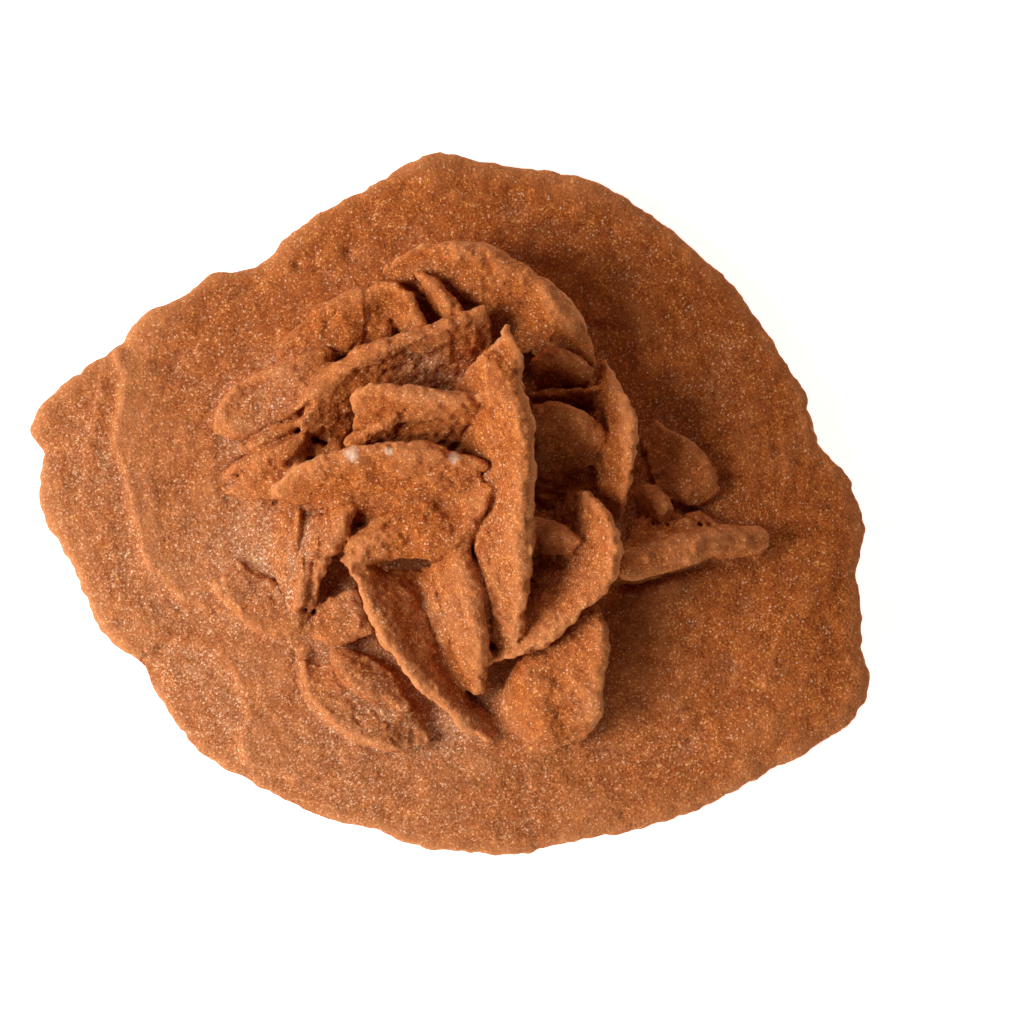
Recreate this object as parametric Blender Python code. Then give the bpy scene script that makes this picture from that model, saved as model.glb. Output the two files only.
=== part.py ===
"""A gypsum sand rose: a broad crystal plate with a rosette of blade crystals on its upper face.

The plate lies in XY with +Z up, and its lowest point is at z = 0. Each blade is a ruled sheet with
thickness. It hangs between its free rim and the root where its neighbours cover it. A root that lies
well above the plate is carried on down to it in the blade's own plane. Blades that cross are cut back
one by one, in the order of BLADES, so each crystal stays a solid of its own with a narrow gap around it.
"""

import math

import bmesh
import bpy
from mathutils import Vector

MM = 0.001
GAP = 0.3  # mm between neighbouring crystals

# The plate: its outline, counter-clockwise, and its thickness from the middle to the rim.
PLATE_CENTRE = (1.0, 0.5)
PLATE_TOP = 7.0
RIM_TOP = 4.1
RIM_BOTTOM = 2.3
REST_RADIUS = 11.0
OUTLINE_STEPS = 96
CUTTER_STEPS = 32
PLATE_OUTLINE = [
    (41.0, -4.9), (40.5, -7.1), (41.0, -9.7), (41.1, -14.8), (41.9, -16.9), (41.8, -18.4),
    (40.5, -21.2), (38.0, -23.0), (35.9, -24.6), (31.8, -26.6), (29.8, -27.9), (25.7, -29.9),
    (21.6, -31.7), (16.4, -33.0), (12.3, -33.5), (8.3, -34.7), (4.2, -35.1), (-1.0, -34.7),
    (-4.8, -33.7), (-5.8, -32.7), (-9.7, -32.2), (-13.3, -30.9), (-17.1, -29.2), (-21.7, -26.9),
    (-24.8, -24.8), (-27.6, -21.5), (-29.6, -18.4), (-30.9, -15.8), (-34.5, -13.0), (-36.6, -9.2),
    (-37.6, -6.1), (-39.9, -2.5), (-40.9, 0.5), (-40.8, 3.6), (-40.5, 5.1), (-41.7, 6.4),
    (-41.9, 8.5), (-40.4, 10.3), (-37.3, 12.8), (-34.0, 15.1), (-31.9, 16.4), (-31.4, 18.7),
    (-26.8, 20.5), (-24.0, 23.0), (-19.9, 23.1), (-16.3, 26.4), (-14.3, 28.4), (-10.2, 30.5),
    (-6.1, 32.8), (-2.5, 34.6), (0.0, 35.1), (2.1, 34.8), (3.1, 34.1), (8.3, 33.6),
    (11.8, 32.8), (15.4, 32.0), (17.0, 30.7), (20.0, 28.7), (23.1, 26.4), (26.2, 23.6),
    (29.0, 21.0), (31.3, 17.4), (33.3, 14.4), (35.6, 10.8), (36.2, 7.7), (36.9, 5.7),
    (39.7, 2.6), (41.0, -0.5), (41.5, -2.0), (40.9, -3.0),
]

# A blade's cross-section, and how many stations it has along its rim.
STATIONS = 10
TIP_THICKNESS = 0.35
BULGE = 1.12
FOOT_Z = 6.0
FOOT_ABOVE = 7.85  # a root lower than this ends where it is
FLATTEST = 0.8  # and so does one that is hardly lower than its rim
LONGEST_FOOT = 6.0

# name: (rim, root, rim thickness, root thickness), all in mm. Rims and roots run in the same direction.
BLADES = {
    "spine": (
        [(3.4, 15.0, 16.4), (5.0, 13.6, 17.5), (6.5, 11.6, 18.1), (7.8, 8.9, 18.2), (8.2, 5.4, 17.8),
         (7.9, 0.4, 17.0), (7.7, -4.6, 15.9), (7.8, -8.6, 14.4), (6.8, -13.4, 11.4)],
        [(0.8, 11.4, 11.2), (2.6, 4.4, 10.2), (2.2, -4.1, 8.2), (3.2, -9.6, 7.0), (4.6, -14.6, 6.2)],
        2.4, 2.6),
    "arc_blade": (
        [(-17.6, 1.6, 9.2), (-16.0, 3.4, 11.2), (-12.5, 4.8, 13.0), (-8.0, 5.7, 14.4),
         (-4.0, 5.8, 15.0), (0.0, 5.1, 15.2), (4.0, 4.0, 14.8)],
        [(-16.7, -0.1, 7.8), (-12.0, 0.4, 8.8), (-6.0, 0.1, 10.0), (0.0, -0.1, 10.4),
         (4.2, 0.4, 10.4)],
        1.7, 2.0),
    "south_west_blade": (
        [(-10.3, -5.6, 10.8), (-8.8, -8.6, 11.8), (-6.8, -13.1, 11.8), (-4.5, -16.4, 11.0),
         (-1.0, -19.6, 9.8), (2.0, -22.6, 8.2), (4.3, -24.4, 6.9)],
        [(-5.0, -6.6, 8.6), (-2.0, -13.6, 7.4), (1.5, -19.6, 6.6), (4.0, -22.6, 6.0)],
        1.6, 2.0),
    "sickle_blade": (
        [(13.6, 1.5, 13.2), (15.4, -0.4, 14.6), (16.9, -3.1, 15.2), (16.7, -6.8, 15.0),
         (14.6, -9.8, 14.0), (11.6, -12.4, 12.8), (8.0, -14.6, 11.4), (3.8, -15.9, 9.8)],
        [(12.0, 0.6, 6.9), (10.8, -3.6, 7.0), (8.9, -8.0, 7.0), (6.0, -12.6, 6.8)],
        1.6, 2.4),
    "north_crest": (
        [(-7.5, 23.6, 9.2), (-5.5, 25.2, 10.8), (-1.0, 25.9, 12.0), (3.5, 25.7, 12.6),
         (8.0, 23.3, 12.8), (11.3, 20.2, 12.4), (13.5, 16.7, 11.6), (14.7, 13.2, 10.2)],
        [(-3.5, 21.4, 7.5), (2.0, 19.0, 7.8), (8.0, 16.0, 7.8), (12.0, 12.9, 7.2)],
        2.2, 2.8),
    "east_wall": (
        [(15.7, 14.2, 9.2), (17.2, 11.6, 11.8), (18.3, 8.4, 13.2), (18.4, 4.9, 13.4),
         (17.9, 0.9, 12.6), (17.1, -1.7, 10.0)],
        [(14.6, 11.9, 8.0), (14.6, 6.4, 8.2), (15.1, 0.4, 8.0)],
        1.6, 2.0),
    "north_ridge": (
        [(-15.2, 7.2, 10.0), (-14.7, 10.4, 11.2), (-11.8, 13.2, 12.2), (-8.2, 15.4, 13.2),
         (-4.0, 16.8, 13.8), (0.0, 18.2, 14.2), (3.7, 19.6, 13.6)],
        [(-12.8, 6.4, 8.0), (-9.5, 10.9, 8.8), (-4.0, 12.6, 9.4), (4.0, 13.9, 9.0)],
        2.0, 2.4),
    "roof_plate": (
        [(-9.4, 11.2, 14.6), (-6.5, 11.8, 15.6), (-3.0, 11.4, 16.2), (0.0, 10.8, 16.4),
         (3.2, 10.4, 16.0)],
        [(-9.5, 7.9, 10.8), (-3.0, 7.6, 11.2), (3.5, 7.4, 11.4)],
        1.6, 2.2),
    "spine_peak": (
        [(2.8, 15.2, 16.0), (4.0, 17.0, 17.2), (5.2, 17.6, 17.9), (6.3, 16.6, 18.1), (6.9, 14.9, 17.8),
         (7.2, 11.9, 16.6)],
        [(1.4, 13.0, 11.4), (4.6, 12.2, 11.4), (7.2, 9.4, 11.4)],
        1.5, 1.8),
    "south_wedge": (
        [(1.2, -4.5, 13.0), (2.3, -7.1, 13.4), (3.1, -10.6, 13.0), (3.6, -14.6, 11.6),
         (3.1, -18.8, 9.2)],
        [(-1.8, -6.1, 9.4), (-0.5, -10.6, 8.2), (0.8, -15.6, 7.4), (2.5, -19.4, 6.6)],
        1.7, 2.2),
    "south_fan": (
        [(14.7, -9.6, 11.4), (15.7, -12.1, 12.0), (15.6, -15.6, 11.6), (15.1, -18.6, 10.6),
         (15.1, -20.6, 9.6), (13.9, -23.4, 6.8)],
        [(9.5, -14.6, 8.0), (5.5, -19.4, 6.4), (9.5, -24.4, 5.9)],
        1.7, 1.8),
    "arc_curl": (
        [(5.0, 3.4, 14.9), (4.6, 1.2, 14.6), (3.2, -1.6, 14.0), (1.0, -3.8, 13.2), (-2.2, -5.8, 11.8)],
        [(2.0, 1.9, 11.2), (0.0, -0.6, 10.8), (-3.0, -3.6, 9.8)],
        1.6, 2.0),
    "v_rim": (
        [(-10.5, -5.6, 10.4), (-8.5, -4.4, 11.6), (-5.0, -3.1, 12.4), (-1.0, -1.8, 12.6)],
        [(-10.0, -4.1, 8.8), (-5.5, -1.6, 9.6), (-1.5, -0.6, 10.4)],
        1.5, 1.8),
    "arc_rib": (
        [(-7.8, -1.8, 11.2), (-5.0, -0.8, 12.0), (-1.8, -0.1, 12.4)],
        [(-7.4, -2.8, 9.6), (-1.6, -1.6, 10.4)],
        1.2, 1.4),
    "north_leaf_west": (
        [(-8.3, 20.9, 9.4), (-7.0, 21.9, 10.6), (-5.2, 22.0, 11.6), (-3.7, 20.6, 12.0),
         (-2.6, 17.8, 12.2)],
        [(-7.6, 19.4, 7.4), (-6.0, 18.6, 7.6), (-4.2, 16.9, 7.8)],
        1.4, 1.8),
    "north_leaf_east": (
        [(-5.5, 22.9, 10.6), (-3.0, 23.4, 11.8), (-1.3, 21.9, 12.4), (0.0, 20.4, 12.6),
         (1.3, 18.9, 12.8)],
        [(-4.6, 22.0, 7.6), (-2.4, 20.2, 7.8), (-0.8, 17.9, 7.8)],
        1.3, 1.6),
    "roof_chip": (
        [(-10.5, 5.9, 11.8), (-8.5, 7.4, 13.2), (-5.2, 9.0, 14.6)],
        [(-9.3, 5.0, 8.8), (-4.6, 6.4, 9.4)],
        1.3, 1.6),
    "west_wedge": (
        [(-22.3, 1.1, 7.4), (-20.0, 3.6, 8.6), (-17.0, 5.6, 9.6), (-14.6, 7.0, 10.2)],
        [(-18.2, -0.1, 6.8), (-14.4, 2.6, 7.8)],
        1.8, 2.0),
    "west_strip": (
        [(-22.8, 3.4, 7.4), (-19.2, 5.9, 8.6), (-15.8, 8.0, 9.4)],
        [(-21.0, 2.6, 6.8), (-15.0, 6.8, 7.7)],
        1.4, 1.5),
    "north_west_lobe": (
        [(-23.7, 7.0, 7.4), (-23.0, 9.9, 8.5), (-21.3, 12.0, 9.3), (-18.5, 13.3, 10.0),
         (-15.0, 14.1, 10.4), (-12.3, 15.0, 10.2)],
        [(-20.5, 5.5, 7.4), (-15.0, 8.4, 8.4), (-11.8, 11.7, 9.0)],
        1.8, 2.2),
    "north_west_petal_high": (
        [(-11.2, 18.8, 8.6), (-10.6, 20.2, 9.4), (-9.2, 20.9, 9.9), (-7.6, 20.2, 10.2)],
        [(-10.4, 17.2, 7.2), (-7.6, 17.4, 7.6)],
        1.5, 1.6),
    "north_west_petal_mid": (
        [(-14.4, 17.4, 7.8), (-13.6, 19.0, 8.6), (-12.2, 19.9, 9.0), (-10.9, 19.9, 9.2)],
        [(-12.7, 16.4, 6.9), (-10.3, 17.2, 7.3)],
        1.5, 1.6),
    "north_west_petal_low": (
        [(-17.8, 13.2, 7.6), (-16.7, 15.7, 8.3), (-15.0, 17.2, 8.7), (-12.8, 17.9, 9.1)],
        [(-15.0, 13.2, 7.7), (-10.5, 15.4, 8.7)],
        1.5, 1.6),
    "east_shelf": (
        [(7.8, 10.1, 12.4), (10.5, 10.1, 13.2), (13.2, 9.0, 13.2), (15.4, 7.4, 12.4)],
        [(8.5, 4.9, 9.4), (12.0, 4.4, 9.0), (15.0, 4.8, 9.2)],
        1.5, 1.8),
    "east_dome": (
        [(8.0, 14.2, 11.2), (10.0, 15.2, 12.6), (12.5, 14.6, 12.6), (14.4, 13.2, 11.4)],
        [(8.5, 12.1, 9.2), (13.8, 11.6, 9.0)],
        1.7, 1.9),
    "east_ledge": (
        [(7.2, 11.0, 10.4), (11.0, 11.2, 11.4), (15.0, 12.0, 11.2)],
        [(8.0, 10.4, 9.0), (14.8, 10.6, 9.0)],
        1.1, 1.2),
    "sickle_spur": (
        [(8.3, -1.5, 11.8), (10.6, -2.2, 12.6), (13.2, -3.7, 13.2)],
        [(9.0, -3.1, 9.6), (12.5, -5.6, 10.0)],
        1.3, 1.4),
    "west_fin": (
        [(-8.8, 0.6, 10.8), (-10.0, -1.6, 11.2), (-11.2, -4.4, 11.0), (-12.8, -6.6, 10.4),
         (-14.3, -9.6, 9.4), (-15.2, -12.8, 7.4)],
        [(-14.0, -0.4, 7.6), (-15.0, -4.6, 7.0), (-16.0, -10.6, 6.8)],
        1.4, 1.6),
    "west_strut": (
        [(-15.2, -0.4, 8.8), (-15.4, -4.1, 8.8), (-16.0, -9.1, 7.8)],
        [(-16.8, -0.8, 7.0), (-17.2, -5.6, 6.8)],
        1.1, 1.2),
    "south_petal": (
        [(-14.7, -12.6, 7.2), (-12.8, -13.4, 7.8), (-10.5, -13.6, 8.1), (-7.7, -12.6, 8.5)],
        [(-12.5, -10.0, 7.7), (-9.5, -8.6, 8.2)],
        1.5, 1.6),
    "west_petal": (
        [(-23.7, -8.2, 6.7), (-22.2, -9.9, 7.2), (-20.0, -12.1, 7.5), (-17.5, -12.9, 7.7),
         (-15.0, -12.4, 7.7)],
        [(-21.0, -6.4, 6.7), (-16.0, -9.6, 7.1)],
        1.4, 1.4),
    "south_west_petal_outer": (
        [(-15.0, -15.8, 7.0), (-14.4, -18.6, 7.4), (-12.5, -21.1, 7.5), (-9.5, -23.4, 7.4),
         (-6.0, -24.6, 7.2), (-2.2, -24.0, 6.8)],
        [(-11.5, -16.6, 6.8), (-7.5, -20.1, 6.8), (-3.0, -21.1, 6.6)],
        1.4, 1.4),
    "south_west_petal_inner": (
        [(-11.5, -15.1, 7.9), (-10.3, -17.4, 8.3), (-7.8, -19.2, 8.4), (-4.5, -20.2, 8.2)],
        [(-9.0, -15.1, 7.6), (-5.5, -17.6, 7.6)],
        1.4, 1.4),
    "east_lens": (
        [(19.7, 2.1, 7.2), (21.0, 0.9, 8.7), (21.9, -0.8, 9.0), (21.4, -3.0, 7.4)],
        [(19.0, 0.4, 6.4), (20.0, -2.3, 6.4)],
        1.5, 1.5),
    "north_east_petal": (
        [(20.5, 8.6, 7.1), (23.5, 6.8, 7.6), (26.0, 4.2, 7.6), (27.3, 0.9, 7.0)],
        [(19.0, 6.4, 6.8), (21.5, 0.9, 6.5), (25.0, 0.1, 6.4)],
        1.3, 1.3),
    "east_spur": (
        [(16.8, -7.1, 13.0), (20.0, -6.3, 11.8), (24.0, -5.3, 10.2), (28.0, -4.5, 8.4),
         (31.6, -4.1, 6.6)],
        [(17.4, -5.0, 10.4), (21.0, -4.0, 9.0), (25.0, -3.2, 7.6), (29.8, -3.4, 6.2)],
        2.1, 2.4),
    "east_spur_upper": (
        [(18.6, -4.2, 10.0), (21.0, -3.2, 9.6), (24.5, -2.0, 8.6), (27.3, -2.6, 7.0)],
        [(19.2, -2.8, 7.8), (25.5, -1.2, 6.6)],
        1.4, 1.6),
}

SAND = (0.50, 0.19, 0.07, 1.0)
ROUGHNESS = 0.88


def catmull_rom(before, start, end, after, t):
    """A point on the smooth curve from start to end."""
    a = 2.0 * start
    b = end - before
    c = 2.0 * before - 5.0 * start + 4.0 * end - after
    d = 3.0 * start - before - 3.0 * end + after
    return 0.5 * (a + b * t + c * t * t + d * t ** 3)


def smooth_open(points, count):
    """The given number of points, evenly spread by parameter along a smooth curve through the points."""
    line = [Vector(point) for point in points]
    if len(line) == 2:
        return [line[0].lerp(line[1], i / (count - 1)) for i in range(count)]
    line = [2.0 * line[0] - line[1]] + line + [2.0 * line[-1] - line[-2]]
    spans = len(points) - 1
    result = []
    for i in range(count):
        place = i / (count - 1) * spans
        span = min(int(place), spans - 1)
        result.append(catmull_rom(*line[span:span + 4], place - span))
    return result


def smooth_closed(points, count):
    """The given number of points, evenly spaced round a smooth closed curve through the points."""
    line = [Vector(point) for point in points]
    total = len(line)
    fine = []
    for i in range(total):
        corners = [line[(i + k - 1) % total] for k in range(4)]
        fine += [catmull_rom(*corners, k / 8) for k in range(8)]
    lengths = [0.0]
    for i, point in enumerate(fine):
        lengths.append(lengths[-1] + (fine[(i + 1) % len(fine)] - point).length)
    result = []
    place = 0
    for i in range(count):
        target = lengths[-1] * i / count
        while lengths[place + 1] < target:
            place += 1
        share = (target - lengths[place]) / (lengths[place + 1] - lengths[place])
        result.append(fine[place].lerp(fine[(place + 1) % len(fine)], share))
    return result


def add_object(name, bm):
    """A named object in the scene from a mesh in millimetres."""
    bmesh.ops.scale(bm, vec=(MM, MM, MM), verts=bm.verts)
    bmesh.ops.recalc_face_normals(bm, faces=bm.faces)
    mesh = bpy.data.meshes.new(name)
    bm.to_mesh(mesh)
    bm.free()
    obj = bpy.data.objects.new(name, mesh)
    bpy.context.scene.collection.objects.link(obj)
    return obj


def bridge_rings(bm, rings):
    """Quads between neighbouring rings of vertices, with a face over each end."""
    for lower, upper in zip(rings, rings[1:]):
        count = len(lower)
        for i in range(count):
            after = (i + 1) % count
            bm.faces.new((lower[i], lower[after], upper[after], upper[i]))
    bm.faces.new(list(reversed(rings[0])))
    bm.faces.new(rings[-1])


def plate_profile(grow):
    """(share of the way from the centre to the outline, height) of the plate's rings, underside first."""
    drop = PLATE_TOP - RIM_TOP
    under = [(0.42, 0.22), (0.62, 0.75), (0.8, 1.45), (0.93, 2.0), (0.985, RIM_BOTTOM)]
    edge = (1.0, 0.5 * (RIM_BOTTOM + RIM_TOP))
    over = [(0.985, RIM_TOP - 0.25), (0.955, RIM_TOP + 0.1)]
    for share in (0.88, 0.76, 0.62, 0.46, 0.3, 0.15):
        over.append((share, PLATE_TOP - drop * share ** 2.2 + 0.05))
    lower = [(share, z - grow) for share, z in under]
    upper = [(share, z + grow) for share, z in over]
    return lower + [edge] + upper


def make_plate(name, steps, grow=0.0):
    """The big lens-shaped plate, with a round flat on its underside to rest on."""
    bm = bmesh.new()
    centre = Vector(PLATE_CENTRE)
    outline = smooth_closed(PLATE_OUTLINE, steps)
    turn = 2.0 * math.pi / steps
    start = math.atan2(outline[0].y - centre.y, outline[0].x - centre.x)
    rest = [centre + REST_RADIUS * Vector((math.cos(start - i * turn), math.sin(start - i * turn)))
            for i in range(steps)]
    rings = [[bm.verts.new((p.x, p.y, -grow)) for p in rest]]
    for share, z in plate_profile(grow):
        rings.append([bm.verts.new((*centre.lerp(p, share), z)) for p in outline])
    bridge_rings(bm, rings)
    return add_object(name, bm)


def blade_section(rim, root, side, thickness, root_thickness, grow):
    """The points round one cross-section of a blade, from the rim down one face and back up the other."""
    down = root - rim
    length = down.length
    down.normalize()
    half = 0.5 * thickness + grow
    root_half = 0.5 * root_thickness + grow
    belly = 0.5 * (half + root_half) * BULGE
    stations = [(-grow, 0.35 * half), (0.32 * half - grow, 0.8 * half), (0.95 * half - grow, half),
                (0.55 * length, belly), (length + grow, root_half)]
    near = [rim + down * depth + side * wide for depth, wide in stations]
    far = [rim + down * depth - side * wide for depth, wide in stations]
    return near + list(reversed(far))


def foot_below(rim, root):
    """How far a blade goes on past its visible root, in its own plane, to stand in the plate."""
    down = root - rim
    if down.z > -FLATTEST or root.z < FOOT_ABOVE:
        return Vector()
    foot = down * ((FOOT_Z - root.z) / down.z)
    return foot * min(1.0, LONGEST_FOOT / foot.length)


def make_blade(name, grow=0.0):
    """One crystal blade: cross-sections lofted along its rim, thin at both ends."""
    rim_points, root_points, thickness, root_thickness = BLADES[name.removesuffix("_cutter")]
    rim = smooth_open(rim_points, STATIONS)
    root = smooth_open(root_points, STATIONS)
    bm = bmesh.new()
    rings = []
    for i in range(STATIONS):
        before = max(i - 1, 0)
        after = min(i + 1, STATIONS - 1)
        along = (rim[after] - rim[before]).normalized() + (root[after] - root[before]).normalized()
        side = along.cross(root[i] - rim[i]).normalized()
        t = 2.0 * i / (STATIONS - 1) - 1.0
        taper = TIP_THICKNESS + (1.0 - TIP_THICKNESS) * math.sqrt(1.0 - t ** 4)
        base = root[i] + foot_below(rim[i], root[i])
        ring = blade_section(rim[i], base, side, thickness * taper, root_thickness * taper, grow)
        if grow and i in (0, STATIONS - 1):
            push = along.normalized() * (grow if i else -grow)
            ring = [point + push for point in ring]
        rings.append([bm.verts.new(point) for point in ring])
    bridge_rings(bm, rings)
    bmesh.ops.triangulate(bm, faces=bm.faces)
    return add_object(name, bm)


def cut(obj, cutter):
    """Remove the cutter's space from the object, for good."""
    modifier = obj.modifiers.new("Cut", "BOOLEAN")
    modifier.operation = "DIFFERENCE"
    modifier.solver = "MANIFOLD"
    modifier.object = cutter
    graph = bpy.context.evaluated_depsgraph_get()
    mesh = bpy.data.meshes.new_from_object(obj.evaluated_get(graph))
    obj.modifiers.remove(modifier)
    obj.data = mesh


def boxes_touch(a, b):
    """Whether two objects' bounding boxes overlap."""
    for axis in range(3):
        if max(v.co[axis] for v in a.data.vertices) < min(v.co[axis] for v in b.data.vertices):
            return False
        if max(v.co[axis] for v in b.data.vertices) < min(v.co[axis] for v in a.data.vertices):
            return False
    return True


def split_islands(bm):
    """The mesh's separate bodies, as lists of faces."""
    left = set(bm.faces)
    islands = []
    while left:
        seed = left.pop()
        island = [seed]
        for face in island:
            for edge in face.edges:
                for other in edge.link_faces:
                    if other in left:
                        left.remove(other)
                        island.append(other)
        islands.append(island)
    return islands


def island_volume(faces):
    """Six times the volume inside a closed body of triangles, which is enough to compare bodies."""
    total = 0.0
    for face in faces:
        a, b, c = (vert.co for vert in face.verts)
        total += a.dot(b.cross(c))
    return total


def keep_largest(obj):
    """Drop the crumbs that a cut leaves."""
    bm = bmesh.new()
    bm.from_mesh(obj.data)
    bmesh.ops.triangulate(bm, faces=bm.faces)
    islands = sorted(split_islands(bm), key=island_volume)
    crumbs = [face for island in islands[:-1] for face in island]
    bmesh.ops.delete(bm, geom=crumbs, context="FACES")
    bm.to_mesh(obj.data)
    bm.free()


def sand_material():
    """Rough, reddish desert sand bound by gypsum."""
    material = bpy.data.materials.new("sand_gypsum")
    material.use_nodes = True
    shader = material.node_tree.nodes["Principled BSDF"]
    shader.inputs["Base Color"].default_value = SAND
    shader.inputs["Roughness"].default_value = ROUGHNESS
    shader.inputs["Metallic"].default_value = 0.0
    return material


def build():
    """The plate first, whole, then each blade, cut back from the plate and from the blades before it."""
    for obj in list(bpy.data.objects):
        bpy.data.objects.remove(obj)
    sand = sand_material()
    plate = make_plate("base_disc", OUTLINE_STEPS)
    solids = [plate]
    cutters = [make_plate("plate_cutter", CUTTER_STEPS, GAP)]
    for name in BLADES:
        blade = make_blade(name)
        for cutter in cutters:
            if boxes_touch(blade, cutter):
                cut(blade, cutter)
        keep_largest(blade)
        solids.append(blade)
        cutters.append(make_blade(f"{name}_cutter", GAP))
    for cutter in cutters:
        bpy.data.objects.remove(cutter)
    for solid in solids:
        solid.data.materials.clear()
        solid.data.materials.append(sand)


build()
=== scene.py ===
"""The looks of a gypsum sand rose: one sand-grained solid grown round every crystal of the CAD frame.

Each CAD crystal is read as a distance field. The fields are joined with a soft minimum, which fills
the narrow gaps and lays sand in the corners, and are roughened with smooth noise. Each crystal's own
share of the joined solid is then meshed finely. Lengths are millimetres until a mesh is made, and
metres for the floor, the lamps and the camera.
"""

import math

import bpy
import numpy as np
import openvdb as vdb
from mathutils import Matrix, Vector


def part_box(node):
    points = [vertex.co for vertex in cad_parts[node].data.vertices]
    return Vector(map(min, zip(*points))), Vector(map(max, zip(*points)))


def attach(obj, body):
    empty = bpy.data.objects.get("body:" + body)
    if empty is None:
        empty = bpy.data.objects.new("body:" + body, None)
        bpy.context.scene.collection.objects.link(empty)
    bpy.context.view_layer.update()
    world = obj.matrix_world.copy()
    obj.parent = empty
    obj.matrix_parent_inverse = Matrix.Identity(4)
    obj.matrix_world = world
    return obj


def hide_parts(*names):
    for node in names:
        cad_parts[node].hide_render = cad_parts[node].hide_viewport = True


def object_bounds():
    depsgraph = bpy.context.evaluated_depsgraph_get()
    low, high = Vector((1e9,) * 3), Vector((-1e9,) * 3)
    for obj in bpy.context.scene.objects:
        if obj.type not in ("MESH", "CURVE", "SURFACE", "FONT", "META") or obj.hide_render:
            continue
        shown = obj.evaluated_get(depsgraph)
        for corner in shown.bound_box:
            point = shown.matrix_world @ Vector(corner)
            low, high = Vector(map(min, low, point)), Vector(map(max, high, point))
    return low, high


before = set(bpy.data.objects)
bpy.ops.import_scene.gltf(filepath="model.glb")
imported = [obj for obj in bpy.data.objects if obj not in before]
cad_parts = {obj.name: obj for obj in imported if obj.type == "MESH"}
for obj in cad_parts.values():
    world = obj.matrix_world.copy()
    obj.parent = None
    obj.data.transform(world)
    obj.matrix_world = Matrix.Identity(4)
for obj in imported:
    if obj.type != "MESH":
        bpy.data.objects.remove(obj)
cad_low, cad_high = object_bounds()

MM = 0.001
PLATE = "base_disc"
BLADE_STEP = 0.17
PLATE_STEP = 0.33
BAND = 1.8  # how far from a surface its distance field is exact
SOFTNESS = 0.17  # of the soft minimum that joins the crystals
SILT = 0.75  # the same, where sand has settled between them
LUMP_SOFTNESS = 0.5  # and between a crystal and its own lumps
EDGE_REACH = 2.5  # how far from its line a sharp edge cuts
COAT = 0.05  # sand grown over the CAD surface
REACH = 0.7  # how far a crystal's piece follows the joined surface past its own
SINK = 0.07  # how deep it dips there under its neighbour's piece
SINK_REACH = 0.4  # over what distance it gets that deep
HOLLOW_RADIUS = 1.3  # half the width of the cube whose mean tells hollows from edges
MARGIN = 2.0  # free space round the crystals in a grid
PLATE_TOP = 14.0  # where the plate's grid ends, well above the plate
NOISE_REACH = 64.0  # the noise covers this far sideways from the origin, and a quarter of it downward

# Roughness: (wavelength, share of it upward, height, seed). The last is thin wrinkles round the crystals.
ROUGHNESS = [(5.5, 1.0, 0.26, 11), (2.4, 1.0, 0.16, 12), (1.1, 1.0, 0.15, 13), (0.52, 1.0, 0.18, 14),
             (3.4, 0.2, 0.20, 15)]
PLATE_ROUGHNESS = 0.55  # how much of it the plate has
SILT_ROUGHNESS = 0.65  # and how much is left where sand has settled

# Noise seen from above: (wavelength, height, seed)
EDGE_RAGGEDNESS = [(1.4, 0.14, 51), (0.6, 0.22, 52)]
SEAM_WANDER = [(1.5, 0.2, 41)]
RIM_RAGGEDNESS = [(2.3, 0.10, 37), (0.75, 0.14, 38)]
STEP_WANDER = [(3.0, 0.35, 31), (1.1, 0.25, 32)]
RING_WANDER = [(9.0, 2.2, 33), (3.5, 0.8, 34)]
PLATE_SWELLS = [(1.3, 0.07, 40), (7.0, 0.22, 35), (2.6, 0.10, 36)]

# The big plate's growth steps: outlines seen from above, outer side lower. (points, rise, rim height)
PLATE_STEPS = [
    ([(-32.6, 17.5), (-33.4, 15.6), (-32.9, 12.6), (-33.7, 7.1), (-32.9, 3.5), (-31.9, -1.1), (-31.0, -5.3),
      (-29.0, -7.9), (-26.7, -9.6), (-24.1, -10.5)], 0.65, 0.1),
    ([(-30.1, -14.6), (-28.8, -13.6), (-27.8, -13.6), (-25.2, -14.6), (-23.6, -14.8), (-22.6, -16.3),
      (-21.0, -18.9), (-20.6, -21.1), (-21.3, -23.6), (-20.0, -26.1), (-15.1, -27.7)], 0.6, 0.1),
    ([(-35.5, 10.9), (-36.0, 8.4), (-36.5, 4.4)], 0.3, 0.15),
]
STEP_SOFTNESS = 0.16  # a small one makes a steep step
STEP_REACH = 4.5  # how far from its line a step is felt
STEP_RIM = (0.35, 0.45)  # how far inside the step its rim is, and half the rim's width
RIM_GROWTH = 0.35  # sand grown outward over the plate's rim
RING_CENTRE = (2.0, 0.5)  # of the plate's ripples
RINGS = [(2.1, 0.05), (0.9, 0.03)]  # (wavelength, height)
PITS = [(-15.2, 24.0, 0.55), (-10.2, 25.2, 0.6), (14.8, 17.5, 0.5), (25.0, -0.4, 0.6)]  # (x, y, radius)
PIT_DEPTH = 0.5

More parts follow.
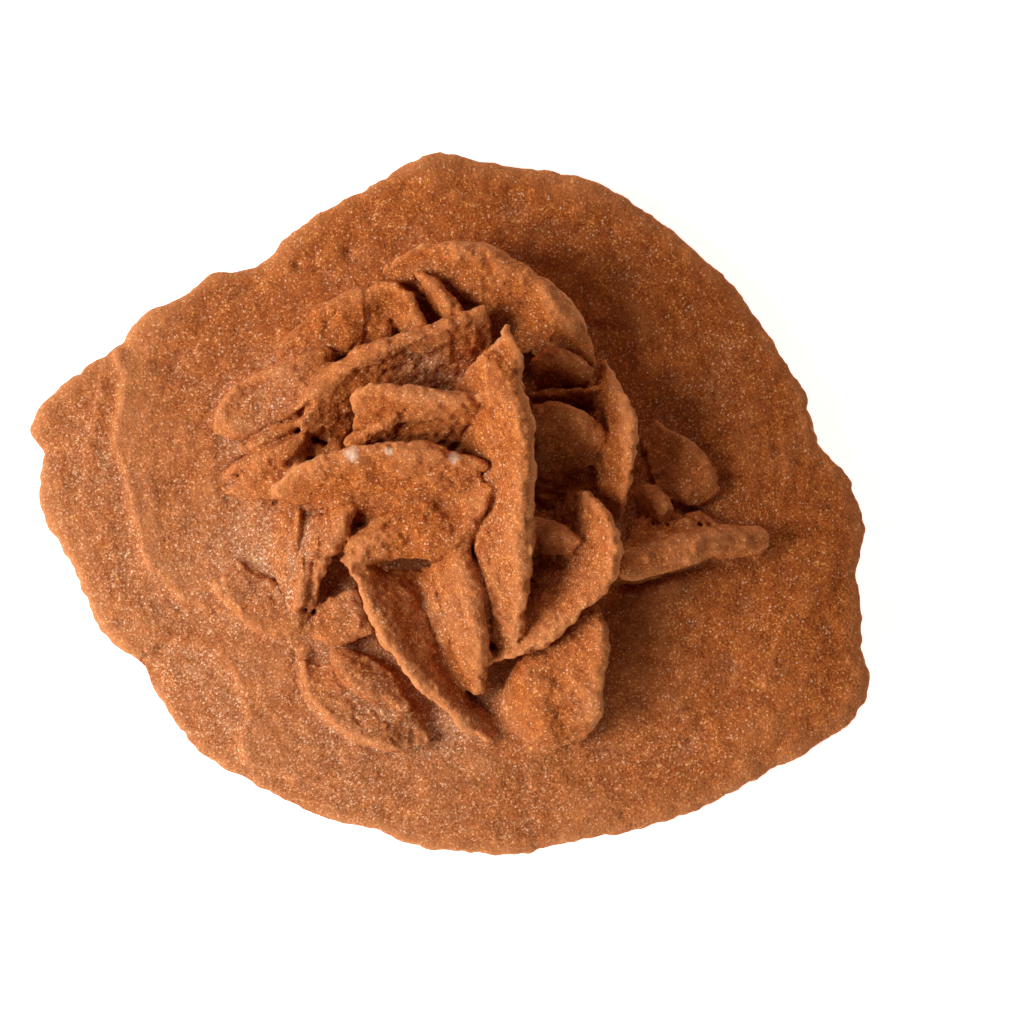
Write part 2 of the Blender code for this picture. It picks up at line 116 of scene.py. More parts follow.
# Round lumps that thicken some crystals: node: [(start, end, radius)]
LUMPS = {
    "spine": [((3.8, -2.5, 12.4), (4.0, -8.0, 10.6), 1.7), ((4.0, -8.0, 10.6), (5.0, -13.0, 8.8), 1.5),
              ((4.9, 14.4, 15.4), (3.4, 12.2, 14.2), 0.9)],
    "east_spur": [((17.2, -5.5, 12.6), (24.0, -4.2, 10.7), 0.7),
                  ((24.0, -4.2, 10.7), (31.0, -3.2, 7.6), 0.6),
                  ((18.3, -6.8, 11.0), (24.0, -5.1, 9.4), 1.0),
                  ((24.0, -5.1, 9.4), (30.5, -3.9, 6.9), 0.8)],
    "north_west_petal_high": [((-12.3, 16.4, 8.2), (-10.4, 17.2, 8.6), 1.2),
                              ((-9.0, 16.2, 8.1), (-6.4, 17.3, 8.7), 1.1),
                              ((-12.6, 15.1, 7.5), (-10.6, 15.6, 7.9), 1.0)],
    "west_strut": [((-12.0, -4.6, 8.9), (-11.8, -8.6, 7.9), 1.4)],
    "v_rim": [((-8.2, -5.0, 10.2), (-2.0, -4.2, 11.2), 1.0), ((-3.0, -2.6, 11.8), (0.0, -3.2, 12.2), 1.0)],
    "south_wedge": [((-1.0, -7.5, 8.8), (0.8, -15.0, 7.4), 1.2),
                    ((1.4, -3.4, 11.0), (1.6, -5.6, 10.6), 0.9)],
    "south_fan": [((8.8, -17.0, 8.4), (9.6, -21.5, 7.5), 1.9)],
}

# Where some crystals end in a sharp ragged edge: node: [line seen from above], ended on the line's right.
EDGES = {
    "spine": [[(5.5, -15.1), (6.6, -13.6), (7.4, -10.1), (7.9, -6.1), (8.1, -2.6), (8.3, 2.4), (8.4, 5.4),
               (8.7, 7.2), (8.2, 8.9), (7.7, 10.4), (7.1, 11.9), (6.9, 13.2)]],
    "spine_peak": [[(7.4, 10.9), (7.1, 12.4), (7.0, 13.6), (6.8, 15.2), (6.3, 16.7), (5.7, 17.8)],
                   [(5.8, 17.9), (4.8, 16.2), (3.7, 14.5), (2.2, 13.0), (0.5, 12.1)]],
    "sickle_blade": [[(3.8, -16.0), (7.0, -14.8), (11.0, -12.8), (14.2, -10.0), (16.0, -8.6), (16.9, -6.1),
                      (16.8, -3.6), (16.0, -1.1), (14.8, 0.6), (13.3, 1.7)]],
    "east_wall": [[(16.8, -1.8), (17.8, 0.4), (18.4, 4.4), (18.4, 7.4), (17.6, 10.4), (16.3, 13.1),
                   (15.2, 14.1)]],
    "south_fan": [[(14.0, -23.6), (14.8, -22.9), (15.3, -19.6), (15.0, -17.8), (15.9, -15.1), (16.1, -13.6),
                   (15.6, -11.1), (15.0, -10.1)]],
    "north_crest": [[(15.0, 13.2), (14.7, 15.9), (13.1, 18.6), (11.2, 21.4), (8.5, 23.8), (5.5, 25.7),
                     (2.0, 26.4), (-2.0, 26.1), (-4.5, 25.2), (-6.5, 23.6)]],
    "arc_blade": [[(4.8, 3.8), (3.0, 5.0), (0.0, 5.7), (-5.0, 6.0), (-10.0, 5.6), (-13.0, 4.7), (-15.0, 3.8),
                   (-16.9, 2.1), (-17.8, 0.9)]],
    "south_west_blade": [[(-10.1, -4.8), (-9.4, -7.6), (-8.2, -10.6), (-6.5, -13.6), (-4.6, -16.4),
                          (-2.0, -19.4), (1.0, -22.0), (4.2, -24.1)]],
    "roof_plate": [[(3.2, 10.6), (0.5, 11.2), (-2.5, 11.6), (-5.0, 12.0), (-7.5, 11.9), (-9.3, 11.6),
                    (-9.6, 10.8)]],
}

# Grooves between crystals, seen from above: (points, half width, depth). A negative depth makes a thin rim.
SEAMS = [
    ([(-21.2, 6.2), (-20.0, 6.6), (-17.5, 7.9), (-15.0, 8.9), (-13.8, 10.0)], 0.3, 0.5),
    ([(-19.6, 5.9), (-17.2, 7.2), (-14.8, 8.2)], 0.4, -0.2),
    ([(-22.5, 3.6), (-20.5, 4.8), (-18.0, 5.9), (-15.0, 7.4)], 0.3, 0.5),
    ([(-22.0, 2.9), (-20.2, 4.1), (-17.7, 5.2), (-14.8, 6.7)], 0.4, -0.2),
    ([(-23.5, 7.9), (-22.2, 10.4), (-21.0, 11.9), (-18.8, 12.9), (-16.0, 13.4)], 0.5, -0.25),
    ([(-24.5, 8.2), (-23.1, 10.9), (-21.6, 12.7), (-19.0, 13.8), (-16.0, 14.3)], 0.4, 0.25),
    ([(-22.3, 0.6), (-19.5, 0.4), (-17.2, 0.2)], 0.24, 0.3),
    ([(-17.4, 1.4), (-16.6, 2.8), (-15.0, 3.9), (-13.4, 4.8)], 0.24, 0.1),
    ([(4.8, 1.2), (2.7, -3.0), (2.4, -4.8), (3.6, -8.8), (4.3, -14.4)], 0.22, 0.45),
    ([(-9.4, -4.6), (-11.5, -5.2), (-13.6, -4.9)], 0.35, 0.35),
    ([(-2.2, -5.4), (-1.3, -8.2), (-0.4, -12.0), (1.4, -17.6)], 0.22, 0.2),
    ([(-15.0, -0.8), (-15.1, -4.0), (-14.8, -7.0), (-15.4, -10.4)], 0.3, -0.5),
    ([(-13.5, -6.0), (-13.9, -8.5), (-14.4, -10.5)], 0.4, 0.5),
    ([(-14.6, -14.5), (-14.0, -18.5), (-12.0, -21.2), (-9.5, -23.0), (-5.5, -24.2)], 0.5, -0.22),
    ([(-15.5, -14.7), (-14.9, -19.0), (-12.7, -21.9), (-10.0, -23.8), (-5.5, -25.0)], 0.4, 0.3),
    ([(16.8, -8.2), (19.5, -7.9), (23.0, -7.0), (26.0, -5.9)], 0.55, 0.7),
]

# Where sand has settled and fills the corners: (x, y, radius)
SILT_SPOTS = [(-20.0, -5.0, 5.5), (-16.0, -9.5, 4.0), (10.0, -20.5, 5.0), (-10.0, -18.0, 5.0),
              (-15.5, 15.5, 4.5), (-10.0, 18.5, 3.8), (5.5, 14.0, 2.2), (-2.0, -2.6, 3.0),
              (-0.5, -10.5, 2.5), (-17.5, 5.5, 2.2), (-5.5, -20.5, 3.0), (-14.0, -3.5, 2.0)]

# Where pale dust lies thick, where it is thin, and where pale gypsum shows through: (x, y, radius)
DUST_SPOTS = [(-20.5, -4.5, 5.5), (-16.5, -9.0, 3.5), (-13.0, -4.0, 2.6), (-9.5, -10.5, 3.0),
              (0.5, -22.8, 3.6), (14.0, -20.5, 1.8), (-2.0, 13.2, 3.4), (-5.0, -17.5, 3.0),
              (-1.5, -11.0, 2.2), (-9.0, -20.5, 5.0), (-20.0, 8.0, 3.2), (-16.5, 12.0, 2.6)]
THIN_DUST_SPOTS = [(6.0, -2.0, 7.0), (11.0, -10.0, 6.0), (2.0, -12.0, 5.0)]
THIN_DUST = 0.12  # how much dust the thin spots have
WORN_SPOTS = [(-9.7, 4.9, 1.0), (0.5, 4.6, 0.9), (-6.0, 5.2, 0.6)]
DUST_HEIGHT = 8.5  # windward dust lies below this height, the thin spots above it
WORN_HEIGHT = 11.5  # the worn spots are above this height

# Colours of the stone, linear. The edge colour is a painted highlight and the crevice colour is painted
# shade.
BODY_COLOURS = [(0.3, (0.34, 0.078, 0.011)), (0.5, (0.43, 0.108, 0.017)), (0.72, (0.53, 0.150, 0.027))]
GRAIN_TINTS = [(0.0, (0.55, 0.46, 0.40)), (0.3, (0.86, 0.82, 0.78)), (0.7, (1.0, 1.0, 1.0)),
               (0.88, (1.2, 1.4, 1.6)), (1.0, (1.7, 2.8, 4.6))]
PALE_GRAIN = (0.90, 0.60, 0.40, 1)
DARK_GRAIN = (0.16, 0.055, 0.02, 1)
DUST_COLOUR = (0.70, 0.36, 0.18, 1)
# painted highlight: the lighter orange laid on edges and rims
EDGE_HIGHLIGHT_COLOUR = (0.68, 0.28, 0.105, 1)
# painted shade: the deep red laid in crevices
CREVICE_SHADE_COLOUR = (0.36, 0.060, 0.008, 1)
WORN_COLOUR = (0.76, 0.54, 0.40, 1)
FINE_GRAIN = 0.15  # how wide the sand grains are
COARSE_GRAIN = 0.30

LAMP_DISTANCE = 0.8  # metres
KEY_POWER = 8.7  # watts
# (name, compass turn from +X, climb, size in metres, share of the key's power, colour)
LAMPS = [
    ("key", 185, 36, 0.45, 1.0, (1.0, 0.98, 0.96)),
    ("front_left", 240, 22, 0.4, 0.17, (1.0, 0.90, 0.80)),
    ("front_right", 285, 20, 0.4, 0.14, (1.0, 0.85, 0.72)),
    ("back", 75, 36, 0.4, 0.17, (1.0, 0.74, 0.62)),
]


class Grid:
    """A box of evenly spaced sample points."""

    def __init__(self, low, high, step):
        self.step = step
        self.first = np.floor(np.array(low) / step).astype(int)
        self.shape = tuple(np.ceil(np.array(high) / step).astype(int) - self.first + 1)

    def part(self, low, high):
        """The slices of the points between two corners."""
        a = np.clip(np.floor(np.array(low) / self.step).astype(int) - self.first, 0, self.shape)
        b = np.clip(np.ceil(np.array(high) / self.step).astype(int) + 1 - self.first, 0, self.shape)
        return tuple(slice(int(i), int(j)) for i, j in zip(a, b))

    def sub(self, slices):
        """The grid of one part."""
        inner = Grid((0, 0, 0), (0, 0, 0), self.step)
        inner.first = self.first + [s.start for s in slices]
        inner.shape = tuple(s.stop - s.start for s in slices)
        return inner

    def axis(self, k):
        return (self.first[k] + np.arange(self.shape[k])) * self.step

    def plan(self):
        """The points seen from above, as an (n, 2) array."""
        return np.stack(np.meshgrid(self.axis(0), self.axis(1), indexing="ij"), axis=-1).reshape(-1, 2)


def lattice_noise(axes, wavelength, upward, seed):
    """Smooth noise between -1 and 1 on the points of three axes, the same wherever the grid starts."""
    cells = int(2 * NOISE_REACH / wavelength) + 3
    levels = int(NOISE_REACH / (wavelength * upward)) + 3
    values = np.random.default_rng(seed).uniform(-1.0, 1.0, (cells, cells, levels)).astype(np.float32)
    for k, axis in enumerate(axes):
        if k < 2:
            place = (axis + NOISE_REACH) / wavelength
        else:
            place = (axis + NOISE_REACH / 4) / (wavelength * upward)
        low = np.floor(place).astype(int)
        share = place - low
        share = (share * share * (3.0 - 2.0 * share)).astype(np.float32)
        shape = [1, 1, 1]
        shape[k] = len(axis)
        share = share.reshape(shape)
        values = np.take(values, low, axis=k) * (1.0 - share) + np.take(values, low + 1, axis=k) * share
    return values


def point_noise(points, wavelength, seed):
    """The same kind of noise at loose points in the plane, given as an (n, 2) array."""
    cells = int(2 * NOISE_REACH / wavelength) + 3
    values = np.random.default_rng(seed).uniform(-1.0, 1.0, (cells, cells))
    place = (points + NOISE_REACH) / wavelength
    low = np.floor(place).astype(int)
    share = place - low
    share = share * share * (3.0 - 2.0 * share)
    (i, j), (u, v) = low.T, share.T
    near = values[i, j] * (1 - u) + values[i + 1, j] * u
    far = values[i, j + 1] * (1 - u) + values[i + 1, j + 1] * u
    return near * (1 - v) + far * v


def layered_noise(points, layers):
    """The sum of several point noises: layers of (wavelength, height, seed)."""
    return sum(height * point_noise(points, wavelength, seed) for wavelength, height, seed in layers)


def cad_mesh(node):
    """A CAD node's points, in millimetres, and triangles."""
    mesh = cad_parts[node].data
    mesh.calc_loop_triangles()
    points = np.empty(len(mesh.vertices) * 3, np.float32)
    mesh.vertices.foreach_get("co", points)
    triangles = np.empty(len(mesh.loop_triangles) * 3, np.int32)
    mesh.loop_triangles.foreach_get("vertices", triangles)
    return points.reshape(-1, 3) / MM, triangles.reshape(-1, 3).astype(np.uint32)


def distance_field(grid, node):
    """(slices of the grid near a CAD node, signed distances to its surface there)."""
    points, triangles = cad_mesh(node)
    slices = grid.part(points.min(0) - BAND, points.max(0) + BAND)
    inner = grid.sub(slices)
    level = vdb.FloatGrid.createLevelSetFromPolygons(
        points, triangles=triangles, transform=vdb.createLinearTransform(voxelSize=grid.step),
        halfWidth=BAND / grid.step)
    field = np.empty(inner.shape, np.float32)
    level.copyToArray(field, ijk=tuple(int(i) for i in inner.first))
    return slices, field


def blur(field):
    """A small smoothing of a field, along each axis in turn."""
    for k in range(3):
        middle = [slice(None)] * 3
        before = list(middle)
        after = list(middle)
        middle[k], before[k], after[k] = slice(1, -1), slice(0, -2), slice(2, None)
        smooth = field.copy()
        smooth[tuple(middle)] = (0.5 * field[tuple(middle)] + 0.25 * field[tuple(before)]
                                 + 0.25 * field[tuple(after)])
        field = smooth
    return field


def box_blur(field, radius):
    """The mean over a cube of 2 * radius + 1 points."""
    for k in range(3):
        padded = np.concatenate([np.repeat(np.take(field, [0], k), radius + 1, k), field,
                                 np.repeat(np.take(field, [-1], k), radius, k)], axis=k)
        total = np.cumsum(padded, axis=k, dtype=np.float64)
        count = field.shape[k]
        high = np.take(total, np.arange(2 * radius + 1, 2 * radius + 1 + count), axis=k)
        field = ((high - np.take(total, np.arange(count), axis=k)) / (2 * radius + 1)).astype(np.float32)
    return field


def seam_depth(flat):
    """How deep the seams cut at points in the plane."""
    depth = np.zeros(len(flat), np.float32)
    wander = layered_noise(flat, SEAM_WANDER)
    for curve, width, cut in SEAMS:
        distance, _ = curve_distance(flat, smooth_line(curve, 4))
        depth += cut * np.exp(-((distance + wander) / width) ** 2)
    return depth


class Joined:
    """All crystals in one box: the joined sandy surface, and each crystal's own distances."""

    def __init__(self, grid, nodes, roughness=1.0):
        self.grid = grid
        self.own = {node: distance_field(grid, node) for node in nodes}
        for node in LUMPS:
            self.add_lumps(node)
        for node in EDGES:
            self.end_sharply(node)
        self.rank()
        settled = spots(grid.plan(), SILT_SPOTS).reshape(*grid.shape[:2], 1).astype(np.float32)
        surface = self.soft_minimum(SOFTNESS) * (1.0 - settled) + self.soft_minimum(SILT) * settled
        self.surface = blur(surface - COAT)
        self.surface += seam_depth(grid.plan()).reshape(*grid.shape[:2], 1)
        self.hollow = box_blur(self.surface, round(HOLLOW_RADIUS / grid.step))
        self.roughen(roughness * (1.0 - (1.0 - SILT_ROUGHNESS) * settled))

    def rank(self):
        """Find how far the nearest and the second nearest crystal are from every point."""
        self.nearest = np.full(self.grid.shape, BAND, np.float32)
        self.second = np.full(self.grid.shape, BAND, np.float32)
        for slices, field in self.own.values():
            near, after = self.nearest[slices], self.second[slices]
            self.second[slices] = np.minimum(after, np.maximum(near, field))
            self.nearest[slices] = np.minimum(near, field)

    def soft_minimum(self, softness):
        """The distance to all crystals joined. The softer it is, the more it fills gaps and corners."""
        total = np.full(self.grid.shape, math.exp(-BAND / softness), np.float32)
        for slices, field in self.own.values():
            total[slices] += np.exp(-field / softness)
        return -softness * np.log(total)

    def roughen(self, amount):
        """Add every layer of noise to the joined surface, by an amount that may vary over it."""
        axes = [self.grid.axis(k) for k in range(3)]
        for wavelength, upward, height, seed in ROUGHNESS:
            self.surface += height * amount * lattice_noise(axes, wavelength, upward, seed)

    def add_lumps(self, node):
        """Join a crystal's own lumps to it."""
        slices, field = self.own[node]
        inner = self.grid.sub(slices)
        places = np.stack(np.meshgrid(*(inner.axis(k) for k in range(3)), indexing="ij"), axis=-1)
        for start, end, radius in LUMPS[node]:
            along = np.array(end) - start
            share = np.clip((places - start) @ along / (along @ along), 0.0, 1.0)
            away = places - (np.array(start) + share[..., None] * along)
            lump = (np.linalg.norm(away, axis=-1) - radius).astype(np.float32)
            total = np.exp(-field / LUMP_SOFTNESS) + np.exp(-lump / LUMP_SOFTNESS)
            field = -LUMP_SOFTNESS * np.log(total)
        self.own[node] = (slices, np.minimum(field, BAND))

    def end_sharply(self, node):
        """Cut a crystal upright along its edge lines, with a ragged cut."""
        slices, field = self.own[node]
        inner = self.grid.sub(slices)
        plan = inner.plan()
        ragged = layered_noise(plan, EDGE_RAGGEDNESS)
        for line in EDGES[node]:
            distance, side = curve_distance(plan, smooth_line(line, 4))
            beyond = np.where(distance < EDGE_REACH, ragged - side * distance, -BAND)
            field = np.maximum(field, beyond.reshape(*inner.shape[:2], 1).astype(np.float32))
        self.own[node] = (slices, field)

    def share(self, node):
        """One crystal's closed share of the joined solid: (its grid, its field)."""
        slices, own = self.own[node]
        others = np.where(own <= self.nearest[slices], self.second[slices], self.nearest[slices])
        beyond = np.clip((own - others) / SINK_REACH, 0.0, 1.0)
        field = np.maximum(self.surface[slices] + SINK * beyond, own - REACH)
        for k in range(3):
            edge = [slice(None)] * 3
            for end in (0, -1):
                edge[k] = end
                field[tuple(edge)] = BAND
        return self.grid.sub(slices), field

    def sample(self, values, points):
        """Values of the whole grid at loose points, between the samples."""
        place = points / self.grid.step - self.grid.first
        low = np.clip(np.floor(place).astype(int), 0, np.array(self.grid.shape) - 2)
        u, v, w = np.clip(place - low, 0.0, 1.0).T
        i, j, k = low.T
        result = 0.0
        for a, x in ((0, 1 - u), (1, u)):
            for b, y in ((0, 1 - v), (1, v)):
                for c, z in ((0, 1 - w), (1, w)):
                    result = result + values[i + a, j + b, k + c] * x * y * z
        return result


def largest_body(points, quads):
    """The biggest connected body of a mesh, without crumbs."""
    label = np.arange(len(points))
    edges = np.concatenate([quads[:, [0, 1]], quads[:, [1, 2]], quads[:, [2, 3]]])
    while True:
        low = np.minimum(label[edges[:, 0]], label[edges[:, 1]])
        new = label.copy()
        np.minimum.at(new, edges[:, 0], low)
        np.minimum.at(new, edges[:, 1], low)
        new = np.minimum(new, new[new])
        new = new[new]
        if np.array_equal(new, label):
            break
        label = new
    names, counts = np.unique(label, return_counts=True)
    kept = label == names[np.argmax(counts)]
    number = np.cumsum(kept) - 1
    return points[kept], number[quads[kept[quads[:, 0]]]]


def quads_of(grid, field):
    """The surface of a field as points, in millimetres, and outward quads."""
    volume = vdb.FloatGrid(BAND)
    volume.transform = vdb.createLinearTransform(voxelSize=grid.step)
    volume.copyFromArray(field, ijk=tuple(int(i) for i in grid.first))
    points, quads = volume.convertToQuads(isovalue=0.0)
    points, quads = largest_body(points.astype(np.float64), quads.astype(np.int64))
    a, b, c, d = (points[quads[:, k]] for k in range(4))
    six_volumes = np.einsum("ij,ij->i", a, np.cross(b, c) + np.cross(c, d)).sum()
    if six_volumes < 0.0:
        quads = quads[:, ::-1]
    return points, quads


def make_piece(name, points, quads):
    """A smooth-shaded object from points in millimetres and quads."""
    mesh = bpy.data.meshes.new(name)
    mesh.vertices.add(len(points))
    mesh.vertices.foreach_set("co", (points * MM).astype(np.float32).ravel())
    mesh.loops.add(quads.size)
    mesh.loops.foreach_set("vertex_index", quads.astype(np.int32).ravel())
    mesh.polygons.add(len(quads))
    mesh.polygons.foreach_set("loop_start", np.arange(0, quads.size, 4, dtype=np.int32))
    mesh.update(calc_edges=True)
    mesh.validate()
    mesh.shade_smooth()
    piece = bpy.data.objects.new(name, mesh)
    bpy.context.scene.collection.objects.link(piece)
    return piece


def normals_of(points, quads):
    """Unit vertex normals."""
    face = np.cross(points[quads[:, 2]] - points[quads[:, 0]], points[quads[:, 3]] - points[quads[:, 1]])
    total = np.zeros_like(points)
    for k in range(4):
        np.add.at(total, quads[:, k], face)
    return total / np.maximum(np.linalg.norm(total, axis=1, keepdims=True), 1e-9)


def curve_distance(points, curve):
    """(distance from points in the plane to a polyline, which side of it they are on)."""
    best = np.full(len(points), 1e9)
    side = np.ones(len(points))
    curve = np.array(curve)
    for a, b in zip(curve[:-1], curve[1:]):
        along = b - a
        share = np.clip(((points - a) @ along) / (along @ along), 0.0, 1.0)
        away = points - (a + share[:, None] * along)
        distance = np.hypot(*away.T)
        turn = along[0] * away[:, 1] - along[1] * away[:, 0]
        closer = distance < best
        best = np.where(closer, distance, best)
        side = np.where(closer, np.sign(turn), side)
    return best, side


def smooth_line(points, count=8):
    """A polyline with extra points on a smooth (Catmull-Rom) curve through the given ones."""
    line = [2 * np.array(points[0]) - points[1]] + [np.array(p) for p in points]
    line.append(2 * line[-1] - line[-2])
    result = []
    for i in range(len(points) - 1):
        p, q, r, s = line[i:i + 4]
        for k in range(count):
            t = k / count
            result.append(0.5 * (2 * q + (r - p) * t + (2 * p - 5 * q + 4 * r - s) * t * t
                                 + (3 * q - p - 3 * r + s) * t ** 3))
    result.append(line[-2])
    return result


def spots(points, places):
    """How strongly points lie in any of the round places (x, y, radius)."""
    total = np.zeros(len(points))
    for x, y, radius in places:
        total += np.exp(-((points[:, 0] - x) ** 2 + (points[:, 1] - y) ** 2) / radius ** 2)
    return np.clip(total, 0.0, 1.0)


def plate_relief(points):
    """How much the plate's upper face rises over the CAD plate: growth steps, ripples and pits."""
    flat = points[:, :2]
    rise = np.zeros(len(points))
    wander = layered_noise(flat, STEP_WANDER)
    inset, half_width = STEP_RIM
    for curve, height, rim in PLATE_STEPS:
        distance, side = curve_distance(flat, smooth_line(curve))
        signed = distance * side + wander
        near = np.exp(-(distance / STEP_REACH) ** 2)
        inside = 1.0 / (1.0 + np.exp(-signed / STEP_SOFTNESS))
        rise += height * (inside - 0.5) * near
        rise += rim * np.exp(-((signed - inset) / half_width) ** 2) * near
    swing = np.hypot(*(flat - RING_CENTRE).T) + layered_noise(flat, RING_WANDER)
    fade = 0.5 + 0.5 * point_noise(flat, 6.0, 39)
    for wavelength, height in RINGS:
        rise += fade * height * np.sin(swing * 2 * math.pi / wavelength)
    rise += layered_noise(flat, PLATE_SWELLS)
    rise -= PIT_DEPTH * spots(points, PITS)
    return rise


def paint(piece, name, values):
    """A number for every vertex, which the material reads by name."""
    piece.data.attributes.new(name, "FLOAT", "POINT").data.foreach_set("value", values.astype(np.float32))


def unwrap(piece, points, normals, quads):
    """A bake map: each side of the piece laid flat in its own cell of a 3 by 2 sheet."""
    face = normals[quads].mean(axis=1)
    axis = np.abs(face).argmax(axis=1)
    cell = axis * 2 + (face[np.arange(len(face)), axis] > 0.0)
    corners = points[quads]
    low = points.min(0)
    size = (points.max(0) - low).max()
    across = np.array([1, 0, 0])[axis]
    up = np.array([2, 2, 1])[axis]
    rows = np.arange(len(quads))[:, None]
    turn = np.arange(4)[None, :]
    u = (corners[rows, turn, across[:, None]] - low[across][:, None]) / size
    v = (corners[rows, turn, up[:, None]] - low[up][:, None]) / size
    gap = 0.02
    left, bottom = (cell % 3)[:, None] + gap, (cell // 3)[:, None] + gap
    place = np.stack([left + (1.0 - 2.0 * gap) * u, bottom + (1.0 - 2.0 * gap) * v], axis=-1)
    layer = piece.data.uv_layers.new(name="OFBake")
    layer.data.foreach_set("uv", (place / 3.0).astype(np.float32).ravel())


def dust_of(points, hollow, sky):
    """How much pale dust lies at points: in its spots, in upward hollows and low on the windward side."""
    lying = np.clip(-hollow / 0.35, 0.0, 1.0) * sky
    windward = np.clip(0.5 - 0.012 * (points[:, 0] + points[:, 1]), 0.0, 1.0)
    above = (points[:, 2] - DUST_HEIGHT) / 1.5
    dust = spots(points, DUST_SPOTS) * (0.35 + 0.65 * lying) * sky
    dust += 0.25 * lying + 0.35 * windward ** 2 * np.clip(-above, 0.0, 1.0)
    dust += THIN_DUST * spots(points, THIN_DUST_SPOTS) * np.clip(above, 0.0, 1.0)
    return np.clip(dust, 0.0, 1.0)


def painted_edge_highlight_of(node, points, hollow):
    """How strongly points get the painted edge highlight: anywhere that sticks out, and along the crystal's
    sharp lines.
    """
    edge = np.clip(hollow / 0.5, 0.0, 1.0)
    for line in EDGES.get(node, []):
        distance, _ = curve_distance(points[:, :2], smooth_line(line, 4))
        edge = np.maximum(edge, 1.6 * np.exp(-(distance / 0.4) ** 2))
    return edge


def finish_piece(piece, nodes, points, quads, joined, material):
    """Attributes, bake map, material and the frame's records of a piece."""
    normals = normals_of(points, quads)
    hollow = joined.sample(joined.hollow, points)
    sky = np.clip(normals[:, 2], 0.0, 1.0)
    high_up = np.clip((points[:, 2] - WORN_HEIGHT) / 2.0, 0.0, 1.0)
    paint(piece, "dust", dust_of(points, hollow, sky))
    # painted highlight: how strongly edges and rims are lightened, stored as the edge attribute
    paint(piece, "edge", painted_edge_highlight_of(nodes[0], points, hollow))
    # painted shade: hollows that face sideways or down are darkened
    paint(piece, "crevice_shade", np.clip(-hollow / 0.45, 0.0, 1.0) * (1.0 - sky))
    paint(piece, "worn", spots(points, WORN_SPOTS) * high_up)
    unwrap(piece, points, normals, quads)
    piece.data.materials.append(material)
    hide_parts(*nodes)
    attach(piece, "root")


class Nodes:
    """Short ways to add shader nodes and links to one material."""

    def __init__(self, material):
        self.tree = material.node_tree

    def add(self, kind, settings=None, **inputs):
        """A node with its settings, and inputs that are either values or other nodes' outputs."""
        node = self.tree.nodes.new(kind)
        for key, value in (settings or {}).items():
            setattr(node, key, value)
        for key, value in inputs.items():
            socket = node.inputs[int(key[1:])] if key[0] == "i" and key[1:].isdigit() else node.inputs[key]
            if isinstance(value, bpy.types.NodeSocket):
                self.tree.links.new(value, socket)
            else:
                socket.default_value = value
        return node

    def math(self, operation, a, b):
        """One sum, product or comparison of two numbers."""
        return self.add("ShaderNodeMath", {"operation": operation}, i0=a, i1=b).outputs[0]

    def mix(self, share, a, b, blend="MIX"):
        """Colour a changed to colour b by a share."""
        node = self.add("ShaderNodeMix", {"data_type": "RGBA", "blend_type": blend}, i0=share, i6=a, i7=b)
        return node.outputs[2]

    def ramp(self, value, stops):
        """A colour ramp from (place, colour) stops."""
        node = self.add("ShaderNodeValToRGB", i0=value)
        ramp = node.color_ramp
        while len(ramp.elements) < len(stops):
            ramp.elements.new(0.5)
        for element, (place, colour) in zip(ramp.elements, stops):
            element.position = place
            element.color = (*colour, 1.0)
        return node.outputs[0]

    def attribute(self, name):
        """A number painted on the vertices."""
        return self.add("ShaderNodeAttribute", {"attribute_name": name}).outputs["Fac"]

    def noise(self, place, size_mm, detail=2.0):
        """Cloudy noise of about the given size, from 0 to 1."""
        node = self.add("ShaderNodeTexNoise", Vector=place, Scale=1.0 / (size_mm * MM), Detail=detail)
        return node.outputs[0]

    def grains(self, place, size_mm):
        """Voronoi cells of about the given size: (distance from the centre, two random numbers a cell)."""
        node = self.add("ShaderNodeTexVoronoi", Vector=place, Scale=1.0 / (size_mm * MM))
        random = self.add("ShaderNodeSeparateColor", i0=node.outputs["Color"])
        return node.outputs["Distance"], random.outputs[0], random.outputs[1]


def bare_colour(n, place, tint, coarse_grains):
    """The stone without dust: cloudy patches tinted grain by grain, with pale and dark coarse grains."""
    away, tone, other = coarse_grains
    colour = n.mix(1.0, n.ramp(n.noise(place, 1.6, 4.0), BODY_COLOURS), tint, "MULTIPLY")
    round_speck = n.math("LESS_THAN", away, n.math("ADD", 0.14, n.math("MULTIPLY", 0.3, other)))
    crowd = n.math("SUBTRACT", 1.06, n.math("MULTIPLY", 0.36, n.noise(place, 2.2, 3.0)))
    pale = n.math("MULTIPLY", n.math("GREATER_THAN", tone, crowd), round_speck)
    colour = n.mix(n.math("MULTIPLY", pale, 0.65), colour, PALE_GRAIN)
    dark = n.math("MULTIPLY", n.math("LESS_THAN", tone, 0.07), round_speck)
    return n.mix(n.math("MULTIPLY", dark, 0.5), colour, DARK_GRAIN)


def dust_wear_and_painted_light_colour(n, place, colour, tint, grain_chance):
    """The same with its dust and worn spots, plus a painted highlight on edges and painted shade in
    crevices, all read from numbers on the vertices.
    """
    cover = n.math("MULTIPLY", n.attribute("dust"), n.math("MULTIPLY", 1.7, n.noise(place, 0.9, 4.0)))
    cover = n.math("MINIMUM", n.math("MULTIPLY", cover, n.math("ADD", 0.35, grain_chance)), 0.85)
    colour = n.mix(cover, colour, n.mix(1.0, DUST_COLOUR, tint, "MULTIPLY"))
    # painted highlight: edges and rims lightened toward a paler orange
    colour = n.mix(n.math("MULTIPLY", n.attribute("edge"), 0.42), colour, EDGE_HIGHLIGHT_COLOUR)
    # painted shade: crevices darkened toward a deep red
    colour = n.mix(n.math("MULTIPLY", n.attribute("crevice_shade"), 0.7), colour, CREVICE_SHADE_COLOUR)
    ragged_wear = n.math("ADD", n.attribute("worn"), n.noise(place, 0.5, 3.0))
    worn = n.add("ShaderNodeMapRange", Value=ragged_wear, **{"From Min": 0.95, "From Max": 1.35})
    return n.mix(n.math("MULTIPLY", worn.outputs[0], 0.75), colour, WORN_COLOUR)


